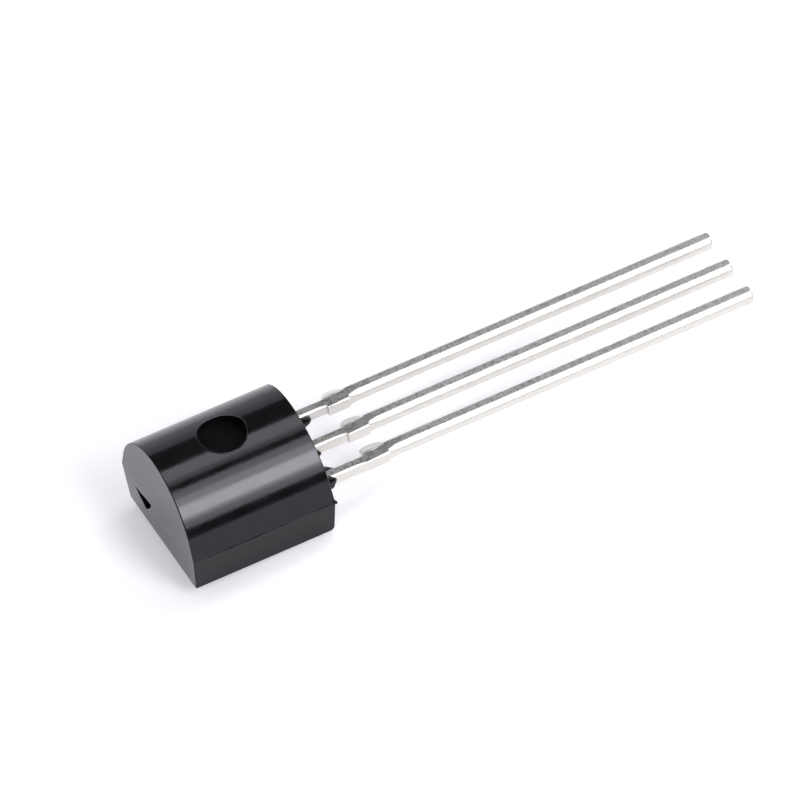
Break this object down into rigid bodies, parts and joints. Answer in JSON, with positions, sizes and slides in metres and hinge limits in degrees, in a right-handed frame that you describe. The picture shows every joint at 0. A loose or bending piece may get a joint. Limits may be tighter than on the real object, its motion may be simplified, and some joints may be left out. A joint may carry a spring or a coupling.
{
  "type": "transistor",
  "caption": "Small-signal transistor in a black moulded half-round case with straight tinned leads, lying on its flat face.",
  "frame": {"origin": "centre of the body's flat face", "axes": "+X along the leads, away from the body; +Z out of the body away from the flat face, so -Z is the flat face's outward normal; +Y towards the emitter lead"},
  "size_m": [0.0187, 0.0046, 0.0034],
  "materials": {
    "black_epoxy": "smooth satin-gloss moulded epoxy",
    "tinned_lead": "matte to satin tin plating with fine draw lines",
    "silicon": "polished chip",
    "silver_epoxy": "matte",
    "gold_wire": "drawn gold wire"
  },
  "bodies": {
    "root": {"package_body": "black_epoxy", "emitter_lead": "tinned_lead", "base_lead": "tinned_lead", "collector_lead": "tinned_lead", "silicon_die": "silicon", "die_attach": "silver_epoxy", "base_bond_wire": "gold_wire", "emitter_bond_wire": "gold_wire"}
  },
  "joints": []
}
